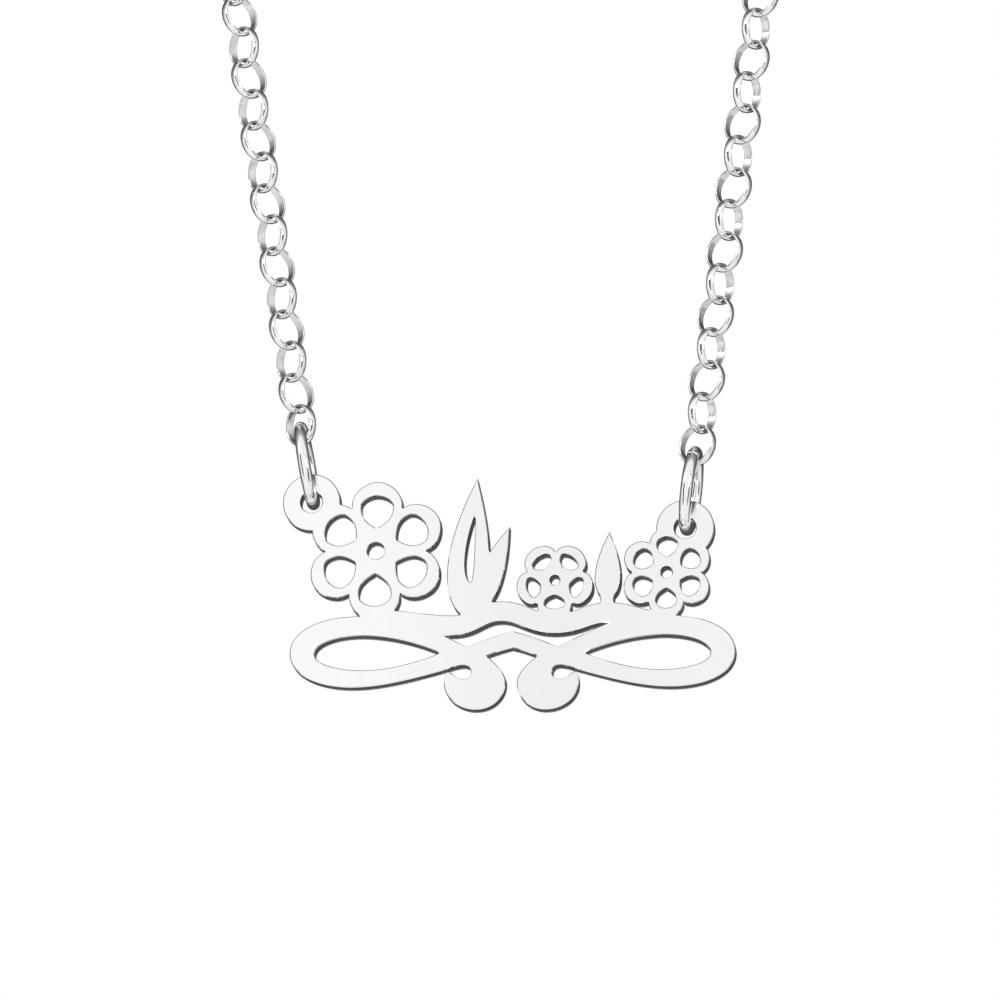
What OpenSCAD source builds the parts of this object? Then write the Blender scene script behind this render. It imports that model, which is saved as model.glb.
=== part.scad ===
/* [Nameplate] */
// Thickness of the flat plate
plate_t = 1.4; // [0.8:0.1:1.6]
// Width across the two loops of the flourish
flourish_w = 36.2; // [32:0.1:42]
// Height of the flourish, from the bottom of the drops to the top of its loops
flourish_h = 7.8; // [7:0.1:9]
// Height of the ornament above the top of the flourish's loops
ornament_h = 11.6; // [10.5:0.1:13]
// Radius of the large flower on the left
big_flower_r = 5.8; // [5.4:0.1:6.2]
// Radius of the small flower in the middle
small_flower_r = 3.2; // [2.9:0.1:3.5]
// Radius of the flower under the right tab
end_flower_r = 3.8; // [3.5:0.1:4.1]
// Metal around the openings of the large flower's petals
big_wall = 1.2; // [1:0.05:1.4]
// Metal around the openings of the other flowers' petals
small_wall = 0.85; // [0.7:0.05:1]
// Width of the tall leaf
tall_leaf_w = 3.4; // [2.8:0.1:3.8]
// Width of the two smaller leaves
small_leaf_w = 2.1; // [1.6:0.1:2.4]
// Width of the slits that are cut through the leaves
slit_w = 0.7; // [0.5:0.05:0.9]
// Width of the stem that the flowers and leaves grow from
stem_w = 1.7; // [1.4:0.1:2]
// Width of the bud's stalk
stalk_w = 1.1; // [0.9:0.05:1.3]

/* [Tabs] */
// Diameter of the two round tabs
tab_d = 4.7; // [4.2:0.1:5.2]
// Diameter of the hole in each tab
hole_d = 1.75; // [1.65:0.05:2]
// How far the right tab lies below the left one
tab_drop = 2.1; // [1.5:0.1:2.6]

/* [Jump rings] */
// Outer diameter of the two jump rings
jump_d = 7.3; // [6.7:0.1:7.7]
// Diameter of their wire
jump_wire = 1; // [0.8:0.05:1.05]
// Turn of the left jump ring about the vertical
left_ring_turn = 1.5; // [0:0.5:3]

/* [Chain] */
// Outer diameter of a link
link_d = 3.45; // [3.25:0.05:3.65]
// Thickness of a link's band, measured along its radius
link_t = 0.22; // [0.16:0.02:0.28]
// Width of a link's band
link_w = 0.68; // [0.5:0.02:0.72]
// Bevel on the outer corners of the band
link_bevel = 0.07; // [0.04:0.01:0.1]
// Clearance between two links, and between a link and a ring, where they hang in each other
link_gap = 0.18; // [0.16:0.01:0.22]
// Lean of the left strand from the vertical, seen from the front
left_lean = 10; // [8:0.2:11]
// Lean of the right strand
right_lean = 6.6; // [4:0.2:9]
// Angle between the planes of two links that hang in each other
link_cross = 96; // [88:1:98]

/* [Neck] */
// Width of the loop at the sides of the neck
neck_w = 104; // [96:1:114]
// Depth of the loop from the nape to the plate
neck_depth = 94; // [88:1:104]
// Drop from the nape to the left tab's hole
plate_drop = 102; // [96:1:112]
// Drop from the nape to the loop's widest place
side_drop = 10; // [0:1:20]

/* [Clasp] */
// Outer diameter of the clasp ring
clasp_d = 6; // [5.5:0.1:7]
// Diameter of the clasp's tube
clasp_tube = 1.2; // [1:0.05:1.3]
// Outer diameter of the eyelet on the clasp
eyelet_d = 2.9; // [2.7:0.1:3.4]
// Diameter of the eyelet's wire
eyelet_wire = 0.6; // [0.5:0.05:0.7]
// Outer diameter of the end ring
end_ring_d = 4; // [3.8:0.1:5]
// Diameter of the end ring's wire
end_ring_wire = 0.8; // [0.6:0.05:0.9]

/* [Hidden] */
$fn = 48;

// Segments on each curve piece of an outline
STEPS = 8;

// The plate's outlines: x is a share of half the flourish's width, z of the flourish's height or,
// above it, of the ornament's height
half_w = flourish_w / 2;
function low(x, z) = [x * half_w, z * flourish_h];
function high(x, z) = [x * half_w, flourish_h + z * ornament_h];

// Points on one cubic curve, without its last point
function bend(a, b, c, d, n = STEPS) = [
    for (i = [0 : n - 1])
        let (t = i / n, s = 1 - t)
        s*s*s * a + 3*s*s*t * b + 3*s*t*t * c + t*t*t * d
];

// A closed outline of cubic curves: each row holds a start point and the two handles after it
function outline(rows) = [
    for (i = [0 : len(rows) - 1])
        each bend(rows[i][0], rows[i][1], rows[i][2], rows[(i + 1) % len(rows)][0])
];

// Points on an open run of curves: rows as in outline(), and the last row's start closes the run
function run(rows) = [
    for (i = [0 : len(rows) - 2]) each bend(rows[i][0], rows[i][1], rows[i][2], rows[i + 1][0]),
    rows[len(rows) - 1][0]
];

// A band of one width along a centre line
function unit(v) = v / norm(v);
function side_of(line, i) =
    let (last = len(line) - 1, d = unit(line[min(i + 1, last)] - line[max(i - 1, 0)]))
    [-d[1], d[0]];
module band(line, w) {
    last = len(line) - 1;
    polygon(concat(
        [for (i = [0 : last]) line[i] - side_of(line, i) * w / 2],
        [for (i = [last : -1 : 0]) line[i] + side_of(line, i) * w / 2]
    ));
}

// A pointed leaf from its root to its tip; sway bends its middle sideways. Each handle of its curves
// is a share of the leaf's length and of its width.
LOW_HANDLE = [0.12, 0.75];
HIGH_HANDLE = [0.55, 0.6];
module leaf(root, tip, w, sway = 0) {
    along = tip - root;
    across = [-along[1], along[0]] / norm(along);
    function at(handle, side) = root + along * handle[0] + across * (sway + side * w * handle[1]);
    polygon(outline([
        [root, at(LOW_HANDLE, -1), at(HIGH_HANDLE, -1)],
        [tip, at(HIGH_HANDLE, 1), at(LOW_HANDLE, 1)]
    ]));
}

// The slit along a leaf's middle vein, between two shares of the leaf's length
VEIN_SPAN = [0.26, 0.74];
VEIN_SWAY = 0.8;
module vein(root, tip, sway = 0) {
    along = tip - root;
    leaf(root + along * VEIN_SPAN[0], root + along * VEIN_SPAN[1], slit_w, sway * VEIN_SWAY);
}

// The flourish: the left half's outline from the middle peak round to the middle underside
flourish_half = run([
    [low(0, 0.835), low(-0.066, 0.795), low(-0.138, 0.737)],
    [low(-0.203, 0.669), low(-0.276, 0.75), low(-0.348, 0.84)],
    [low(-0.425, 0.915), low(-0.508, 0.987), low(-0.602, 1)],
    [low(-0.696, 1), low(-0.862, 1), low(-1, 0.859)],
    [low(-1, 0.609), low(-1, 0.385), low(-0.878, 0.24)],
    [low(-0.713, 0.24), low(-0.552, 0.24), low(-0.365, 0.385)],
    [low(-0.238, 0.462), low(-0.199, 0.481), low(-0.182, 0.449)],
    [low(-0.182, 0.397), low(-0.182, 0.321), low(-0.227, 0.295)],
    [low(-0.268, 0.385), low(-0.276, 0.41), low(-0.29, 0.41)],
    [low(-0.296, 0.372), low(-0.326, 0.167), low(-0.243, 0)],
    [low(-0.157, 0), low(-0.077, 0), low(-0.025, 0.141)],
    [low(-0.025, 0.282), low(-0.025, 0.397), low(-0.072, 0.487)],
    [low(-0.113, 0.571), low(-0.077, 0.603), low(-0.039, 0.635)],
    [low(0, 0.654)]
]);
function mirrored(p) = [-p[0], p[1]];

module flourish_outline() {
    last = len(flourish_half) - 1;
    polygon(concat(flourish_half, [for (i = [last - 1 : -1 : 1]) mirrored(flourish_half[i])]));
}

// The long pointed opening of one loop
module loop_opening() {
    polygon(outline([
        [low(-0.324, 0.603), low(-0.42, 0.699), low(-0.547, 0.782)],
        [low(-0.674, 0.788), low(-0.796, 0.788), low(-0.888, 0.705)],
        [low(-0.888, 0.596), low(-0.888, 0.5), low(-0.796, 0.423)],
        [low(-0.669, 0.423), low(-0.547, 0.423), low(-0.42, 0.513)]
    ]));
}

// A petal along X from the middle of its flower: pointed at its root and broad at its tip.
// The places along it and across it are shares of its length and of its width.
PETAL_BULGE = 0.66;
module petal(from, to, w) {
    function at(along, across) = [from + (to - from) * along, across * w];
    polygon(outline([
        [at(0, 0), at(0.2, -0.36), at(0.36, -0.5)],
        [at(PETAL_BULGE, -0.5), at(0.86, -0.5), at(1, -0.22)],
        [at(1, 0), at(1, 0.22), at(0.86, 0.5)],
        [at(PETAL_BULGE, 0.5), at(0.36, 0.5), at(0.2, 0.36)]
    ]));
}

// A flower is a row of its middle, radius, number of petals, the way that its first petal points
// and the metal around each opening
PETAL_LAP = 0.3;
HUB_SHARE = 0.45;
EYE_SHARE = 0.24;
function room_of(flower) = 2 * flower[1] * PETAL_BULGE * sin(180 / flower[2]);
module petals_of(flower, from, to, w) {
    translate(flower[0])
        for (i = [0 : flower[2] - 1]) rotate(flower[3] + 360 * i / flower[2]) petal(from, to, w);
}
module flower_outline(flower) {
    petals_of(flower, 0, flower[1], room_of(flower) + PETAL_LAP);
    translate(flower[0]) circle(flower[1] * HUB_SHARE);
}
module flower_openings(flower) {
    eye_d = flower[1] * EYE_SHARE;
    wall = flower[4];
    petals_of(flower, eye_d / 2 + wall, flower[1] - wall, room_of(flower) - wall);
    translate(flower[0]) circle(d = eye_d);
}

// Places of the tabs and flowers, and the root and tip of each leaf
left_tab = high(-0.922, 0.826);
right_tab = high(0.764, 0.805) - [0, tab_drop];
flowers = [
    [high(-0.625, 0.47), big_flower_r, 6, 90, big_wall],
    [high(0.185, 0.252), small_flower_r, 5, -90, small_wall],
    [high(0.685, 0.305), end_flower_r, 6, 90, small_wall]
];
SWAY = 0.35;
tall_leaf = [high(-0.2, -0.034), high(-0.175, 0.991)];
side_leaf = [high(-0.17, 0.017), high(-0.025, 0.64)];
bud = [high(0.42, 0.1), high(0.425, 0.6)];
stalk = [[bud[0][0], high(0, 0)[1]], bud[0] + (bud[1] - bud[0]) / 4];

module ornament() {
    for (flower = flowers) flower_outline(flower);
    leaf(tall_leaf[0], tall_leaf[1], tall_leaf_w, SWAY);
    leaf(side_leaf[0], side_leaf[1], small_leaf_w);
    leaf(bud[0], bud[1], small_leaf_w);
    band(stalk, stalk_w);
    stem();
}

// The wavy stem between the two loops of the flourish
module stem() {
    band(run([
        [high(-0.62, -0.03), high(-0.5, -0.02), high(-0.4, -0.07)],
        [high(-0.27, -0.07), high(-0.17, -0.07), high(-0.15, 0.03)],
        [high(-0.05, 0.03), high(0.04, 0.03), high(0.08, -0.06)],
        [high(0.19, -0.06), high(0.3, -0.06), high(0.33, 0.02)],
        [high(0.43, 0.02), high(0.52, 0.02), high(0.56, -0.04)],
        [high(0.65, -0.04)]
    ]), stem_w);
}

module nameplate_outline() {
    difference() {
        union() {
            flourish_outline();
            ornament();
            translate(left_tab) circle(d = tab_d);
            translate(right_tab) circle(d = tab_d);
        }
        loop_opening();
        mirror([1, 0]) loop_opening();
        vein(tall_leaf[0], tall_leaf[1], SWAY);
        for (flower = flowers) flower_openings(flower);
        translate(left_tab) circle(d = hole_d);
        translate(right_tab) circle(d = hole_d);
    }
}

// The plate hangs with its middle plane neck_depth in front of the nape
plate_y = -neck_depth;
plate_z = -plate_drop - left_tab[1];
module nameplate() {
    color([0.9, 0.9, 0.91])
        translate([0, plate_y + plate_t / 2, plate_z])
            rotate([90, 0, 0])
                linear_extrude(plate_t) nameplate_outline();
}

// A ring of round wire in the XY plane
module wire_ring(outer_d, wire) {
    rotate_extrude() translate([(outer_d - wire) / 2, 0]) circle(d = wire);
}

// Each strand and its jump ring has a side: -1 is left and 1 is right
function tab_of(side) = side < 0 ? left_tab : right_tab;
function lean_of(side) = side * (side < 0 ? left_lean : right_lean);
function up_of(side) = [sin(lean_of(side)), 0, cos(lean_of(side))];

// Where the wire of a jump ring crosses its hole, a little above the hole's middle
ring_play = 0.25;
seat_rise = (hole_d - jump_wire) / 2 - ring_play;
function seat_of(side) = [tab_of(side)[0], plate_y, plate_z + tab_of(side)[1] + seat_rise];

// The middle of each jump ring: the plate swings about the line through the two
jump_r = (jump_d - jump_wire) / 2;
function ring_of(side) = seat_of(side) + up_of(side) * jump_r;

// A jump ring stands across the plate and leans with its strand; the left one is turned a little
module jump_ring(side) {
    turn = side < 0 ? left_ring_turn : 0;
    color([0.8, 0.8, 0.82])
        translate(ring_of(side))
            rotate([0, lean_of(side), turn]) rotate([0, 90, 0]) wire_ring(jump_d, jump_wire);
}
module jump_ring_left() { jump_ring(-1); }
module jump_ring_right() { jump_ring(1); }

// One band link about the Z axis
link_ro = link_d / 2;
link_ri = link_ro - link_t;
module link() {
    half = link_w / 2;
    rotate_extrude() polygon([
        [link_ri, -half],
        [link_ro - link_bevel, -half],
        [link_ro, link_bevel - half],
        [link_ro, half - link_bevel],
        [link_ro - link_bevel, half],
        [link_ri, half]
    ]);
}

// Distance between the middles of two crossed links, and of a link and a ring of wire
function reach(inner) = sqrt(inner * inner - link_w * link_w / 4);
pitch_max = 2 * reach(link_ri) - link_gap;
function hook_of(outer_d, wire, spare) = reach(outer_d / 2 - wire) + link_ri - link_gap - spare;

// The clasp: a ring of tube in the XZ plane with an eyelet on its right side, as one piece
eyelet_x = (clasp_d + eyelet_d - eyelet_wire) / 2;
module clasp() {
    color([0.85, 0.85, 0.87])
        rotate([90, 0, 0]) {
            wire_ring(clasp_d, clasp_tube);
            translate([eyelet_x, 0, 0]) wire_ring(eyelet_d, eyelet_wire);
        }
}

// The end ring lies flat and is hooked in the clasp's left side
end_ring_x = link_gap * 2 - (clasp_d / 2 - clasp_tube) - (end_ring_d / 2 - end_ring_wire);
module end_ring() {
    color([0.8, 0.8, 0.82]) translate([end_ring_x, 0, 0]) wire_ring(end_ring_d, end_ring_wire);
}

// The route of a strand: straight up from the jump ring, out to the side of the neck and back
// round to the nape. The few chosen lengths of the route:
straight_rise = 36;
front_handle = 34;
side_back = 52;
side_handles = [30, 26];
side_lift = 2;
nape_handle = 33.7;
// Spare lengths that let the tilted first links clear the jump rings, left and right
tilt_spares = [0.46, 0.1];
function first_link(side) =
    ring_of(side) + up_of(side) * hook_of(jump_d, jump_wire, tilt_spares[side < 0 ? 0 : 1]);
function last_link(side) = side < 0
    ? [end_ring_x - hook_of(end_ring_d, end_ring_wire, 0), 0, 0]
    : [eyelet_x + hook_of(eyelet_d, eyelet_wire, 0), 0, 0];
ROUTE_STEPS = 60;
function route(side) =
    let (
        start = first_link(side),
        top = start + up_of(side) * straight_rise,
        flank = [side * neck_w / 2, -side_back, -side_drop],
        finish = last_link(side)
    )
    concat(
        [start],
        bend(top, top + up_of(side) * front_handle, flank - [0, side_handles[0], 0],
            flank, ROUTE_STEPS),
        bend(flank, flank + [0, side_handles[1], side_lift], finish + [side * nape_handle, 0, 0],
            finish, ROUTE_STEPS),
        [finish]
    );

// The length along a route up to each of its points, and the point at a length
function lengths(line) = [
    for (i = 0, s = 0; i < len(line); s = i + 1 < len(line) ? s + norm(line[i + 1] - line[i]) : s, i = i + 1) s
];
function point_at(line, sums, s) =
    let (
        k = min(len([for (v = sums) if (v <= s) v]) - 1, len(line) - 2),
        t = (s - sums[k]) / (sums[k + 1] - sums[k])
    )
    line[k] + (line[k + 1] - line[k]) * t;

// The turn of the first link about its strand, left and right, and the way that the last one faces
first_turns = [-47, -32];
function first_turn(side) = first_turns[side < 0 ? 0 : 1];
function last_facing(side) = side < 0 ? [0, 1, 0] : [0, 0, 1];
function nearest_half_turn(a) = a - 180 * round(a / 180);

// A cross direction that goes along the strand without twisting about it
function carried(across, ahead) = unit(across - ahead * (across * ahead));
function carried_along(aheads) = [
    for (k = 0, a = carried([0, -1, 0], aheads[0]); k < len(aheads);
        k = k + 1, a = k < len(aheads) ? carried(a, aheads[k]) : a) a
];

// A strand: crossed links a pitch apart, whose turn drifts a little on the hidden stretch until
// the last link stands across the ring that it hooks in
module strand(side) {
    line = route(side);
    sums = lengths(line);
    total = sums[len(sums) - 1];
    spaces = ceil(total / pitch_max);
    places = [for (k = [0 : spaces]) point_at(line, sums, total * k / spaces)];
    aheads = [for (k = [0 : spaces]) unit(places[min(k + 1, spaces)] - places[max(k - 1, 0)])];
    acrosses = carried_along(aheads);
    last_turn = atan2(last_facing(side) * cross(aheads[spaces], acrosses[spaces]),
        last_facing(side) * acrosses[spaces]);
    drift = nearest_half_turn(last_turn - first_turn(side) - link_cross * (spaces % 2));
    for (k = [0 : spaces]) {
        hidden = max(0, (total * k / spaces - straight_rise) / (total - straight_rise));
        turn = first_turn(side) + link_cross * (k % 2) + drift * hidden;
        normal = acrosses[k] * cos(turn) + cross(aheads[k], acrosses[k]) * sin(turn);
        third = cross(normal, aheads[k]);
        multmatrix([
            [aheads[k][0], third[0], normal[0], places[k][0]],
            [aheads[k][1], third[1], normal[1], places[k][1]],
            [aheads[k][2], third[2], normal[2], places[k][2]],
            [0, 0, 0, 1]
        ]) link();
    }
}
module chain_left() { color([0.82, 0.82, 0.84]) strand(-1); }
module chain_right() { color([0.82, 0.82, 0.84]) strand(1); }

nameplate();
jump_ring_left();
jump_ring_right();
chain_left();
chain_right();
clasp();
end_ring();
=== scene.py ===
"""Nameplate necklace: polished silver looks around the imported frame."""
import math

import bmesh
import bpy
import numpy as np
from mathutils import Matrix, Vector
from mathutils.geometry import tessellate_polygon


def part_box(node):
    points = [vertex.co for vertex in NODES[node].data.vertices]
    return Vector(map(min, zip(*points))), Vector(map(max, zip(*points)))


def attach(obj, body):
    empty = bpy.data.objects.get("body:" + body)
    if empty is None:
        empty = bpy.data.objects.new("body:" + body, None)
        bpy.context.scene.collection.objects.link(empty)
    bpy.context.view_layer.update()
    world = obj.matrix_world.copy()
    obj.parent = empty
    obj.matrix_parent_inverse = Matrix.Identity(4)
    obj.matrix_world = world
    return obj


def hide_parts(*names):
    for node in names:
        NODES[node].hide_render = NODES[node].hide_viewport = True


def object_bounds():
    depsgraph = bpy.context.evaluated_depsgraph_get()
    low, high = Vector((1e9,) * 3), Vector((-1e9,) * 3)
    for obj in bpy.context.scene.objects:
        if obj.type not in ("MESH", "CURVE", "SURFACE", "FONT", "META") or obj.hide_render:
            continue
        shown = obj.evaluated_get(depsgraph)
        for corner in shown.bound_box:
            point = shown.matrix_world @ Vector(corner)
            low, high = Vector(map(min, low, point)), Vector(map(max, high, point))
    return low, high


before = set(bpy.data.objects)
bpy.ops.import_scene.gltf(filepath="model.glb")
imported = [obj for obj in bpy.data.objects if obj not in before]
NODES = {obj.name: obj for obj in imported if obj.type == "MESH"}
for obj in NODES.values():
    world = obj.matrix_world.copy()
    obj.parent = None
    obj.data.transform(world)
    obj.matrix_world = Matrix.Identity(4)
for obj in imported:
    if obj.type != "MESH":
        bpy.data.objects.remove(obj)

CAD_LOW, CAD_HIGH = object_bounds()
MM = 0.001
SCENE = bpy.context.scene

# Sizes of the wire and the links, as they are in the frame
LINK_D = 3.45 * MM
LINK_T = 0.22 * MM
LINK_W = 0.7 * MM
JUMP_WIRE = 1.0 * MM
CLASP_D = 6.0 * MM
CLASP_TUBE = 1.2 * MM
EYELET_D = 2.9 * MM
EYELET_WIRE = 0.6 * MM
END_RING_WIRE = 0.8 * MM
# Points of the frame's meshes that are closer than this are one point
WELD = 0.001 * MM
# A length below this is none
TINY = 1e-12


# Camera, floor and light

VIEW_AZIMUTH = 7.0
VIEW_ELEVATION = -15.0
VIEW_ROLL = 1.47
VIEW_DISTANCE = 0.8
VIEW_WIDTH = 0.08098
AIM_X = -1.28 * MM
AIM_RISE = 17.45 * MM
SENSOR_WIDTH = 36.0
# How far the floor lies below the part, and half its width
FLOOR_DROP = 0.6
FLOOR_HALF = 2.0


def aim_point():
    low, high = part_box("nameplate")
    return Vector((AIM_X, low.y, low.z + AIM_RISE))


def towards_camera():
    a = math.radians(VIEW_AZIMUTH)
    e = math.radians(VIEW_ELEVATION)
    return Vector((math.sin(a) * math.cos(e), -math.cos(a) * math.cos(e), math.sin(e)))


def make_camera():
    data = bpy.data.cameras.new("photo_camera")
    cam = bpy.data.objects.new("photo_camera", data)
    SCENE.collection.objects.link(cam)
    back = towards_camera()
    roll = Matrix.Rotation(math.radians(VIEW_ROLL), 3, "Z").to_quaternion()
    cam.location = aim_point() + back * VIEW_DISTANCE
    cam.rotation_mode = "QUATERNION"
    cam.rotation_quaternion = (-back).to_track_quat("-Z", "Y") @ roll
    data.sensor_width = SENSOR_WIDTH
    data.lens = SENSOR_WIDTH * VIEW_DISTANCE / VIEW_WIDTH
    data.clip_start = 0.01
    data.clip_end = 20.0
    SCENE.camera = cam


class Graph:
    """A short way to write a node tree."""

    def __init__(self, tree):
        self.tree = tree
        tree.nodes.clear()

    def add(self, kind, inputs=None, **settings):
        made = self.tree.nodes.new(kind)
        for name, value in settings.items():
            setattr(made, name, value)
        for name, value in (inputs or {}).items():
            socket = made.inputs[name]
            if isinstance(value, bpy.types.NodeSocket):
                self.tree.links.new(value, socket)
            else:
                socket.default_value = value
        return made

    def math(self, operation, a, b=0.0):
        return self.add("ShaderNodeMath", {0: a, 1: b}, operation=operation).outputs[0]

    def range(self, value, low, high, to_low=0.0, to_high=1.0, kind="SMOOTHSTEP"):
        """to_low where value is below low and to_high above high, with a soft step between."""
        made = self.add("ShaderNodeMapRange", {"Value": value, "From Min": low, "From Max": high,
                                               "To Min": to_low, "To Max": to_high},
                        interpolation_type=kind)
        return made.outputs["Result"]

    def ramp(self, value, stops):
        """Levels between the stops, each of which is a value and its level."""
        first, last = stops[0][0], stops[-1][0]
        made = self.add("ShaderNodeValToRGB", {0: self.range(value, first, last, kind="LINEAR")})
        elements = made.color_ramp.elements
        while len(elements) < len(stops):
            elements.new(1.0)
        for element, (at, level) in zip(elements, stops):
            element.position = (at - first) / (last - first)
            element.color = (level, level, level, 1.0)
        return self.add("ShaderNodeSeparateColor", {0: made.outputs[0]}).outputs[0]

    def angle_between(self, direction, fixed):
        """The angle in degrees between two directions."""
        dot = self.add("ShaderNodeVectorMath", {0: direction, 1: tuple(fixed)}, operation="DOT_PRODUCT")
        return self.math("DEGREES", self.math("ARCCOSINE", dot.outputs["Value"]))

    def blend(self, share, a, b):
        """a where share is 0 and b where it is 1."""
        made = self.add("ShaderNodeMix", {0: share, 2: a, 3: b}, data_type="FLOAT")
        return made.outputs[0]


# How bright the light tent is, by the angle in degrees away from its open front
TENT = [(0, 1.0), (83, 0.97), (93, 0.45), (100, 0.35), (110, 0.24), (124, 0.1), (140, 0.075), (180, 0.075)]
# How bright its floor is, and the z of the directions where the floor begins and is full
UNDERFOOT = 0.85
FLOOR_BEGINS, FLOOR_FULL = -0.4, -0.6
# Its dark gaps: the angle in degrees to each side of the front and how soft their edges are, the z
# of the directions where each ends, is full, is full still and ends again, and how bright they stay
GAP_FROM, GAP_TO, GAP_SOFT = 42.0, 62.0, 3.0
GAP_HEIGHTS = [-0.75, -0.55, 0.25, 0.45]
GAP_LEVEL = 0.03
# The soft fold that the plate mirrors: the x of a direction, and how bright the tent is there
FOLD = [(-0.140, 1.0), (-0.128, 0.985), (-0.120, 0.90), (-0.112, 0.865), (-0.103, 0.91), (-0.095, 0.94)]


def make_world():
    """A white light tent, open in front with a narrow dark gap on each side, and dark behind.

    Where the camera looks straight at it, the studio is plain white.
    """
    world = bpy.data.worlds.new("studio")
    world.use_nodes = True
    SCENE.world = world
    g = Graph(world.node_tree)
    direction = g.add("ShaderNodeTexCoord").outputs["Generated"]
    x, y, z = g.add("ShaderNodeSeparateXYZ", {0: direction}).outputs
    front = towards_camera()
    tent = g.ramp(g.angle_between(direction, front), TENT)
    # The gaps stand upright at eye level and end above and below it
    flat = g.add("ShaderNodeCombineXYZ", {0: x, 1: y, 2: 0.0})
    flat = g.add("ShaderNodeVectorMath", {0: flat.outputs[0]}, operation="NORMALIZE")
    aside = g.angle_between(flat.outputs[0], Vector((front.x, front.y, 0.0)).normalized())
    gap = g.math("MULTIPLY", g.range(aside, GAP_FROM - GAP_SOFT, GAP_FROM),
                 g.range(aside, GAP_TO + GAP_SOFT, GAP_TO))
    gap = g.math("MULTIPLY", gap, g.range(z, GAP_HEIGHTS[0], GAP_HEIGHTS[1]))
    gap = g.math("MULTIPLY", gap, g.range(z, GAP_HEIGHTS[3], GAP_HEIGHTS[2]))
    level = g.math("MAXIMUM", tent, g.range(z, FLOOR_BEGINS, FLOOR_FULL, 0.0, UNDERFOOT))
    level = g.blend(gap, level, GAP_LEVEL)
    level = g.math("MULTIPLY", level, g.ramp(x, FOLD))
    lit = g.add("ShaderNodeCombineColor", {0: level, 1: level, 2: level})
    studio = g.add("ShaderNodeBackground", {"Color": lit.outputs[0], "Strength": 1.0})
    plain = g.add("ShaderNodeBackground", {"Color": (1.0, 1.0, 1.0, 1.0), "Strength": 1.0})
    seen = g.add("ShaderNodeLightPath").outputs["Is Camera Ray"]
    both = g.add("ShaderNodeMixShader", {0: seen, 1: studio.outputs[0], 2: plain.outputs[0]})
    g.add("ShaderNodeOutputWorld", {"Surface": both.outputs[0]})


def make_floor():
    half = FLOOR_HALF
    z = CAD_LOW.z - FLOOR_DROP
    mesh = bpy.data.meshes.new("floor")
    corners = [(-half, -half, z), (half, -half, z), (half, half, z), (-half, half, z)]
    mesh.from_pydata(corners, [], [(0, 1, 2, 3)])
    floor = bpy.data.objects.new("floor", mesh)
    SCENE.collection.objects.link(floor)
    made = bpy.data.materials.new("floor_white")
    made.use_nodes = True
    g = Graph(made.node_tree)
    shade = g.add("ShaderNodeBsdfPrincipled", {"Base Color": (0.9, 0.9, 0.9, 1.0), "Roughness": 0.8})
    g.add("ShaderNodeOutputMaterial", {"Surface": shade.outputs[0]})
    mesh.materials.append(made)
    floor.visible_glossy = False


def add_area(name, place, size, power):
    data = bpy.data.lights.new(name, "AREA")
    data.shape = "RECTANGLE"
    data.size = size[0]
    data.size_y = size[1]
    data.energy = power
    light = bpy.data.objects.new(name, data)
    SCENE.collection.objects.link(light)
    light.location = place
    toward = aim_point() - Vector(place)
    light.rotation_mode = "QUATERNION"
    light.rotation_quaternion = toward.to_track_quat("-Z", "Y")


def make_lights():
    add_area("key_upper_left", place=(-0.9, -0.9, 0.4), size=(0.4, 0.3), power=3.0)
    add_area("fill_right", place=(0.9, -0.8, 0.0), size=(0.2, 0.4), power=1.5)


# Materials

# The scale of the noise in the clouds and mottles, and of that in a wall's sawn lines, which run along y
CLOUD_SCALE, MOTTLE_SCALE = 1100.0, 3200.0
SAWN_SCALE = (9000.0, 500.0, 9000.0)
SAWN_STRENGTH = 0.1
# The levels of the noise between which the clouds go from dark to light
CLOUD_DARK, CLOUD_LIGHT = 0.3, 0.7
# The depth of the mottles and lines
RELIEF = 0.02 * MM
# A face of a plate is a wall if its normal has little y, and the back if it has much
NO_WALL, ALL_WALL = 0.3, 0.1
NO_BACK, ALL_BACK = 0.5, 0.7
# Roughness of the plate's walls at the front and at the back, and of its back face
WALL_GLOSS = (0.12, 0.6)
BACK_GLOSS = 0.5


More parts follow.
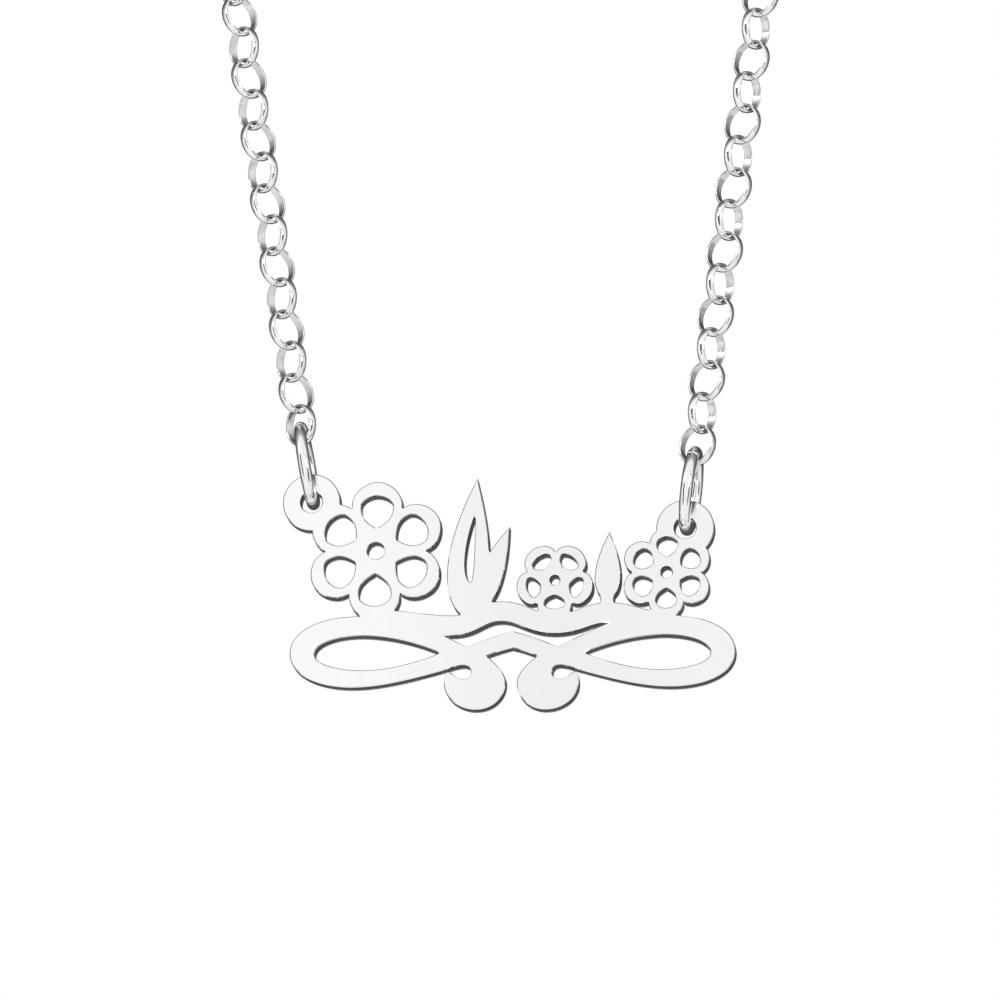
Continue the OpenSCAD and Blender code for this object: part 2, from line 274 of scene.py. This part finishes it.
def silver(name, tint, roughness, uneven, mottle, cloud=0.05, walls=None):
    """Polished silver with an uneven gloss, soft mottles in its surface and slight clouds in its tint.

    Walls are the lowest and highest y of a plate. Its sawn walls show fine lines along y. They are
    smooth in their front half and get rough towards the back, where the saw left them. The plate's
    back face is satin.
    """
    made = bpy.data.materials.new(name)
    made.use_nodes = True
    g = Graph(made.node_tree)
    own = g.add("ShaderNodeTexCoord").outputs
    place = own["Object"]
    clouds = g.add("ShaderNodeTexNoise", {"Vector": place, "Scale": CLOUD_SCALE, "Detail": 3.0}).outputs[0]
    mottles = g.add("ShaderNodeTexNoise", {"Vector": place, "Scale": MOTTLE_SCALE, "Detail": 1.0}).outputs[0]
    shade = g.range(clouds, CLOUD_DARK, CLOUD_LIGHT, 1.0 - cloud, 1.0, "LINEAR")
    colour = g.add("ShaderNodeVectorMath", {0: tint, 1: shade}, operation="MULTIPLY")
    gloss = g.range(clouds, CLOUD_LIGHT, CLOUD_DARK, roughness, roughness + uneven, "LINEAR")
    relief = g.add("ShaderNodeBump", {"Height": mottles, "Strength": mottle, "Distance": RELIEF})
    if walls:
        sawn = g.add("ShaderNodeMapping", {"Vector": place, "Scale": SAWN_SCALE})
        lines = g.add("ShaderNodeTexNoise", {"Vector": sawn.outputs[0], "Scale": 1.0, "Detail": 2.0})
        backward = g.add("ShaderNodeSeparateXYZ", {0: own["Normal"]}).outputs[1]
        wall = g.range(g.math("ABSOLUTE", backward), NO_WALL, ALL_WALL)
        relief = g.add("ShaderNodeBump", {"Height": g.math("MULTIPLY", lines.outputs[0], wall),
                                          "Strength": SAWN_STRENGTH, "Distance": RELIEF,
                                          "Normal": relief.outputs[0]})
        deep = g.add("ShaderNodeSeparateXYZ", {0: place}).outputs[1]
        half_way = (walls[0] + walls[1]) / 2
        rough = g.range(deep, half_way, walls[1], WALL_GLOSS[0], WALL_GLOSS[1], "LINEAR")
        gloss = g.blend(wall, gloss, rough)
        gloss = g.blend(g.range(backward, NO_BACK, ALL_BACK), gloss, BACK_GLOSS)
    body = g.add("ShaderNodeBsdfPrincipled", {"Base Color": colour.outputs[0], "Metallic": 1.0,
                                              "Roughness": gloss, "Normal": relief.outputs[0]})
    g.add("ShaderNodeOutputMaterial", {"Surface": body.outputs[0]})
    return made


PLATE_LOW, PLATE_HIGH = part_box("nameplate")
BRIGHT_SILVER = (0.98, 0.978, 0.975)
WHITE_SILVER = (0.97, 0.967, 0.965)
# Painted shade: a darker tint for the inside walls of the links, where they face each other
INSIDE_SHADE_SILVER = (0.88, 0.877, 0.875)
PLATE_SILVER = silver("plate_silver", BRIGHT_SILVER, 0.05, 0.03, 0.01, 0.01, (PLATE_LOW.y, PLATE_HIGH.y))
RING_SILVER = silver("ring_silver", WHITE_SILVER, 0.12, 0.08, 0.25)
CHAIN_SILVER = silver("chain_silver", WHITE_SILVER, 0.10, 0.06, 0.2)
# The insides of the links are rougher, which is real, and darker, which is painted shade
CHAIN_INSIDE = silver("chain_silver_inside_shaded", INSIDE_SHADE_SILVER, 0.14, 0.10, 0.7, 0.2)
CLASP_SILVER = silver("clasp_silver", WHITE_SILVER, 0.08, 0.08, 0.12)


# Meshes

def piece(name, mesh, materials, body, node, smooth=True):
    """A finished piece that rides on a body and stands for the node that it replaces."""
    for material in materials:
        mesh.materials.append(material)
    if smooth:
        for face in mesh.polygons:
            face.use_smooth = True
    made = bpy.data.objects.new(name, mesh)
    SCENE.collection.objects.link(made)
    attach(made, body)
    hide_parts(node)


# The plate: its outlines come from the frame's plate, and its curves and edges are finer

# The chamfer of each edge from the face to the wall: how far in from the wall, and how deep
CHAMFER = [(0.082 * MM, 0.0), (0.07 * MM, 0.012 * MM), (0.0, 0.125 * MM)]
# The normals of the front face have at most this y
FRONT_NORMAL = -0.999
# The number of steps on each edge of a curve, and the turn from which a point is a corner
CURVE_STEPS = 3
CORNER = math.radians(32)
# How much further in the chamfer goes at a corner, at most
MITRE_MAX = 1.5
# How much of the chamfer reaches into a sharp inner corner
TIP_SHARE = 0.4


def plate_loops():
    """The closed outlines of the plate's front face in order, as arrays of x and z."""
    work = bmesh.new()
    work.from_mesh(NODES["nameplate"].data)
    bmesh.ops.remove_doubles(work, verts=work.verts, dist=WELD)
    work.faces.ensure_lookup_table()
    front = {f.index for f in work.faces if f.normal.y < FRONT_NORMAL}
    after = {}
    for face in work.faces:
        if face.index not in front:
            continue
        for corner in face.loops:
            if all(f.index in front for f in corner.edge.link_faces):
                continue
            after[corner.vert] = corner.link_loop_next.vert
    loops = []
    while after:
        first, vert = after.popitem()
        loop = [first.co.copy()]
        while vert is not first:
            loop.append(vert.co.copy())
            vert = after.pop(vert)
        loops.append(np.array([(p.x, p.z) for p in loop]))
    work.free()
    return loops


def unit_rows(v):
    """Each row of v at length 1; a row with no length stays as it is."""
    return v / np.maximum(np.linalg.norm(v, axis=1, keepdims=True), TINY)


def smooth_loop(points):
    """More points on each curved stretch of a loop, and for each point whether it is a corner."""
    ahead = np.roll(points, -1, 0) - points
    size = np.linalg.norm(ahead, axis=1)
    way = unit_rows(ahead)
    back = np.roll(way, 1, 0)
    turn = np.abs(np.arctan2(back[:, 0] * way[:, 1] - back[:, 1] * way[:, 0], (back * way).sum(1)))
    corner = turn > CORNER
    size_back = np.roll(size, 1)
    tangent = (back * size[:, None] + way * size_back[:, None]) / (size + size_back)[:, None]
    made, sharp = [], []
    for i in range(len(points)):
        j = (i + 1) % len(points)
        start = way[i] if corner[i] else tangent[i]
        end = way[i] if corner[j] else tangent[j]
        for k in range(CURVE_STEPS):
            t = k / CURVE_STEPS
            blend = ((1 + 2 * t) * (1 - t) ** 2, t * (1 - t) ** 2, t * t * (3 - 2 * t), t * t * (t - 1))
            made.append(blend[0] * points[i] + blend[1] * size[i] * start
                        + blend[2] * points[j] + blend[3] * size[i] * end)
            sharp.append(bool(corner[i]) and k == 0)
    return np.array(made), np.array(sharp)


def build_plate():
    """The pierced plate: flat faces, straight walls and finely chamfered edges."""
    # The rows of points across the wall: how far in from the wall, and y
    rows = [(inset, PLATE_LOW.y + depth) for inset, depth in CHAMFER]
    rows += [(inset, PLATE_HIGH.y - depth) for inset, depth in reversed(CHAMFER)]
    # The lean of the strip of faces after each row, from the front through the wall to the back
    leans = [math.atan2(after[1] - before[1], before[0] - after[0]) for before, after in zip(rows, rows[1:])]
    verts, faces, normals = [], [], []
    front, back = [], []
    for points in plate_loops():
        line, sharp = smooth_loop(points)
        count = len(line)
        way = unit_rows(np.roll(line, -1, 0) - line)
        out = np.column_stack([way[:, 1], -way[:, 0]])
        mean = unit_rows(out + np.roll(out, 1, 0))
        stretch = 1 / np.maximum((mean * out).sum(1), 1 / MITRE_MAX)
        back_way = np.roll(way, 1, 0)
        stretch[sharp & (back_way[:, 0] * way[:, 1] < back_way[:, 1] * way[:, 0])] = TIP_SHARE
        base = len(verts)
        for inset, y in rows:
            place = line - mean * (stretch * inset)[:, None]
            verts.extend((px, y, pz) for px, pz in place)
        for r in range(len(rows) - 1):
            for i in range(count):
                j = (i + 1) % count
                near = out[i] if sharp[i] else mean[i]
                far = out[i] if sharp[j] else mean[j]
                a, b = base + r * count, base + (r + 1) * count
                faces.append((a + i, b + i, b + j, a + j))
                out_share, along = math.sin(leans[r]), -math.cos(leans[r])
                for side in (near, near, far, far):
                    normals.append((side[0] * out_share, along, side[1] * out_share))
        front.append(range(base, base + count))
        back.append(range(base + (len(rows) - 1) * count, base + len(rows) * count))
    for loops, along in ((front, -1.0), (back, 1.0)):
        flat = [i for loop in loops for i in loop]
        for tri in tessellate_polygon([[Vector(verts[i]) for i in loop] for loop in loops]):
            a, b, c = (Vector(verts[flat[k]]) for k in tri)
            tri = [flat[k] for k in tri]
            if (b - a).cross(c - a).y * along < 0:
                tri.reverse()
            faces.append(tuple(tri))
            normals.extend([(0.0, along, 0.0)] * 3)
    mesh = bpy.data.meshes.new("nameplate_cut")
    mesh.from_pydata(verts, [], faces)
    for face in mesh.polygons:
        face.use_smooth = True
    mesh.normals_split_custom_set(normals)
    piece("nameplate_cut", mesh, [PLATE_SILVER], "plate", "nameplate", smooth=False)


# Rings and links

def swept_ring(radius, profile, turns, gap=0.0, dents=()):
    """Vertices and faces of a ring about the Z axis; profile holds (radial, axial) offsets.

    With a gap, in radians, the ring is cut there and its two ends are closed. Each dent is an
    angle, a half width in radians and a depth, and presses a fine line across the ring.
    """
    count = len(profile)
    closed = gap == 0.0
    angles = [gap / 2 + (2 * math.pi - gap) * i / turns for i in range(turns if closed else turns + 1)]
    depth_at = {}
    for angle, half, depth in dents:
        for side, share in ((-1, 0.0), (0, 1.0), (1, 0.0)):
            depth_at[angle + side * half] = depth * share
    angles = sorted(angles + list(depth_at))
    verts = []
    for a in angles:
        press = 1 - depth_at.get(a, 0.0)
        for off, along in profile:
            r = radius + off * press
            verts.append((r * math.cos(a), r * math.sin(a), along * press))
    faces = []
    last = len(angles) - 1
    for i in range(len(angles) if closed else last):
        j = (i + 1) % len(angles)
        for k in range(count):
            n = (k + 1) % count
            faces.append((i * count + k, j * count + k, j * count + n, i * count + n))
    if not closed:
        faces.append(tuple(range(count)))
        faces.append(tuple(last * count + k for k in reversed(range(count))))
    return verts, faces


# The number of sides of a round wire, of faces around a ring, and the width of the cut in a ring
WIRE_SIDES = 24
RING_TURNS = 96
CUT_WIDTH = 0.03 * MM


def round_profile(wire):
    angles = [2 * math.pi * k / WIRE_SIDES for k in range(WIRE_SIDES)]
    return [(wire / 2 * math.cos(a), wire / 2 * math.sin(a)) for a in angles]


# A link's band: the radius of its rounded corners and how close to them the flat inside is held
CORNER_R = 0.05 * MM
HOLD = 0.02 * MM
# Its dome, which is a little fuller than round when the power is below 1
DOME_STEPS = 8
DOME_POWER = 0.8
# The number of sides of the section that are the inside
INNER_SIDES = 5


def band_profile():
    """The section of a link, flat inside and domed outside; its first sides are the inside."""
    half = LINK_W / 2
    inner = -LINK_T / 2
    soft = CORNER_R * (1 - math.sqrt(0.5))
    flat = half - CORNER_R
    points = [(inner + soft, -half + soft), (inner, -flat), (inner, HOLD - flat),
              (inner, flat - HOLD), (inner, flat), (inner + soft, half - soft), (inner + CORNER_R, half)]
    edge = inner + CORNER_R + HOLD
    for k in range(DOME_STEPS + 1):
        t = math.pi / 2 * (1 - 2 * k / DOME_STEPS)
        points.append((edge + (LINK_T / 2 - edge) * max(math.cos(t), 0.0) ** DOME_POWER, half * math.sin(t)))
    points.append((inner + CORNER_R, -half))
    return points


def axis_of(points):
    """The axis of a flat ring of points; its largest share is positive."""
    axis = Vector(np.linalg.eigh(np.cov((points - points.mean(0)).T))[1][:, 0]).normalized()
    return axis if max(axis, key=abs) > 0 else -axis


def links_of(node):
    """The middle and axis of each link of a chain node, from the node's own mesh."""
    work = bmesh.new()
    work.from_mesh(NODES[node].data)
    bmesh.ops.remove_doubles(work, verts=work.verts, dist=WELD)
    work.verts.ensure_lookup_table()
    seen = set()
    found = []
    for vert in work.verts:
        if vert.index in seen:
            continue
        stack = [vert]
        seen.add(vert.index)
        group = []
        while stack:
            v = stack.pop()
            group.append(v.co.copy())
            for edge in v.link_edges:
                other = edge.other_vert(v)
                if other.index not in seen:
                    seen.add(other.index)
                    stack.append(other)
        points = np.array(group)
        found.append((Vector(points.mean(0)), axis_of(points)))
    work.free()
    return found


# A ring lies flat when its axis has at least this z
FLAT = 0.99


def turned(axis, angle):
    """A frame whose Z is the axis and whose X lies at an angle from up.

    The angle is measured from +X where the ring lies flat.
    """
    start = Vector((1.0, 0.0, 0.0)) if abs(axis.z) > FLAT else Vector((0.0, 0.0, 1.0))
    first = (start - axis * start.dot(axis)).normalized()
    frame_of = Matrix((first, axis.cross(first), axis)).transposed()
    return frame_of @ Matrix.Rotation(angle, 3, "Z")


# The number of faces around a link in front of FRONT_Y, which are seen from near, and around the others
FRONT_Y = -0.08
FRONT_TURNS, OTHER_TURNS = 110, 36
# The solder seam of a link: where it is in radians, half its width, and how much it presses the band in
SEAM_AT = math.radians(3.3)
SEAM_HALF = 0.035 * MM
SEAM_PRESS = 0.07
# The seams lie at the sides of the links, each a little higher or lower than the last, in degrees
SEAM_SIDE, SEAM_SWAY = 90.0, 25.0
SEAM_STEP = 2.4


def build_chain(node, name):
    """Every link as a finely turned band with its solder seam, set where the frame's link is."""
    profile = band_profile()
    seam = (SEAM_AT, SEAM_HALF / (LINK_D / 2), SEAM_PRESS)
    fine, plain = (swept_ring((LINK_D - LINK_T) / 2, profile, turns=turns, dents=[seam])
                   for turns in (FRONT_TURNS, OTHER_TURNS))
    verts, faces = [], []
    for n, (middle, axis) in enumerate(links_of(node)):
        ring_verts, ring_faces = fine if middle.y < FRONT_Y else plain
        turn = turned(axis, math.radians(SEAM_SIDE + SEAM_SWAY * math.sin(n * SEAM_STEP)))
        base = len(verts)
        verts.extend(tuple(middle + turn @ Vector(v)) for v in ring_verts)
        faces.extend(tuple(base + i for i in face) for face in ring_faces)
    mesh = bpy.data.meshes.new(name)
    mesh.from_pydata(verts, [], faces)
    piece(name, mesh, [CHAIN_SILVER, CHAIN_INSIDE], "necklace", node)
    inside = [int(i % len(profile) < INNER_SIDES) for i in range(len(faces))]
    mesh.polygons.foreach_set("material_index", inside)


def ring_frame(node):
    """Middle, axis and outer radius of a ring node."""
    points = np.array([tuple(v.co) for v in NODES[node].data.vertices])
    middle = (points.min(0) + points.max(0)) / 2
    outer = float(np.linalg.norm(points - middle, axis=1).max())
    return Vector(middle), axis_of(points), outer


def build_ring(node, name, wire, cut_angle):
    """A ring of round wire with the fine cut where it was closed."""
    middle, axis, outer = ring_frame(node)
    radius = outer - wire / 2
    verts, faces = swept_ring(radius, round_profile(wire), RING_TURNS, gap=CUT_WIDTH / radius)
    turn = turned(axis, cut_angle)
    mesh = bpy.data.meshes.new(name)
    mesh.from_pydata([tuple(middle + turn @ Vector(v)) for v in verts], [], faces)
    piece(name, mesh, [RING_SILVER], "necklace", node)


def build_clasp():
    """The clasp's ring of tube with the eyelet soldered to its side, as one mesh."""
    verts, faces = [], []
    eyelet_x = (CLASP_D + EYELET_D - EYELET_WIRE) / 2
    for outer, wire, x in ((CLASP_D, CLASP_TUBE, 0.0), (EYELET_D, EYELET_WIRE, eyelet_x)):
        ring_verts, ring_faces = swept_ring((outer - wire) / 2, round_profile(wire), RING_TURNS)
        base = len(verts)
        verts.extend((x + vx, -vz, vy) for vx, vy, vz in ring_verts)
        faces.extend(tuple(base + i for i in face) for face in ring_faces)
    mesh = bpy.data.meshes.new("clasp_ring")
    mesh.from_pydata(verts, [], faces)
    piece("clasp_ring", mesh, [CLASP_SILVER], "necklace", "clasp")


make_camera()
make_world()
make_floor()
make_lights()
SCENE.view_settings.view_transform = "Standard"

build_plate()
build_chain("chain_left", "chain_left_links")
build_chain("chain_right", "chain_right_links")
build_ring("jump_ring_left", "jump_ring_left_wire", JUMP_WIRE, cut_angle=0.6)
build_ring("jump_ring_right", "jump_ring_right_wire", JUMP_WIRE, cut_angle=0.8)
build_ring("end_ring", "end_ring_wire", END_RING_WIRE, cut_angle=1.2)
build_clasp()
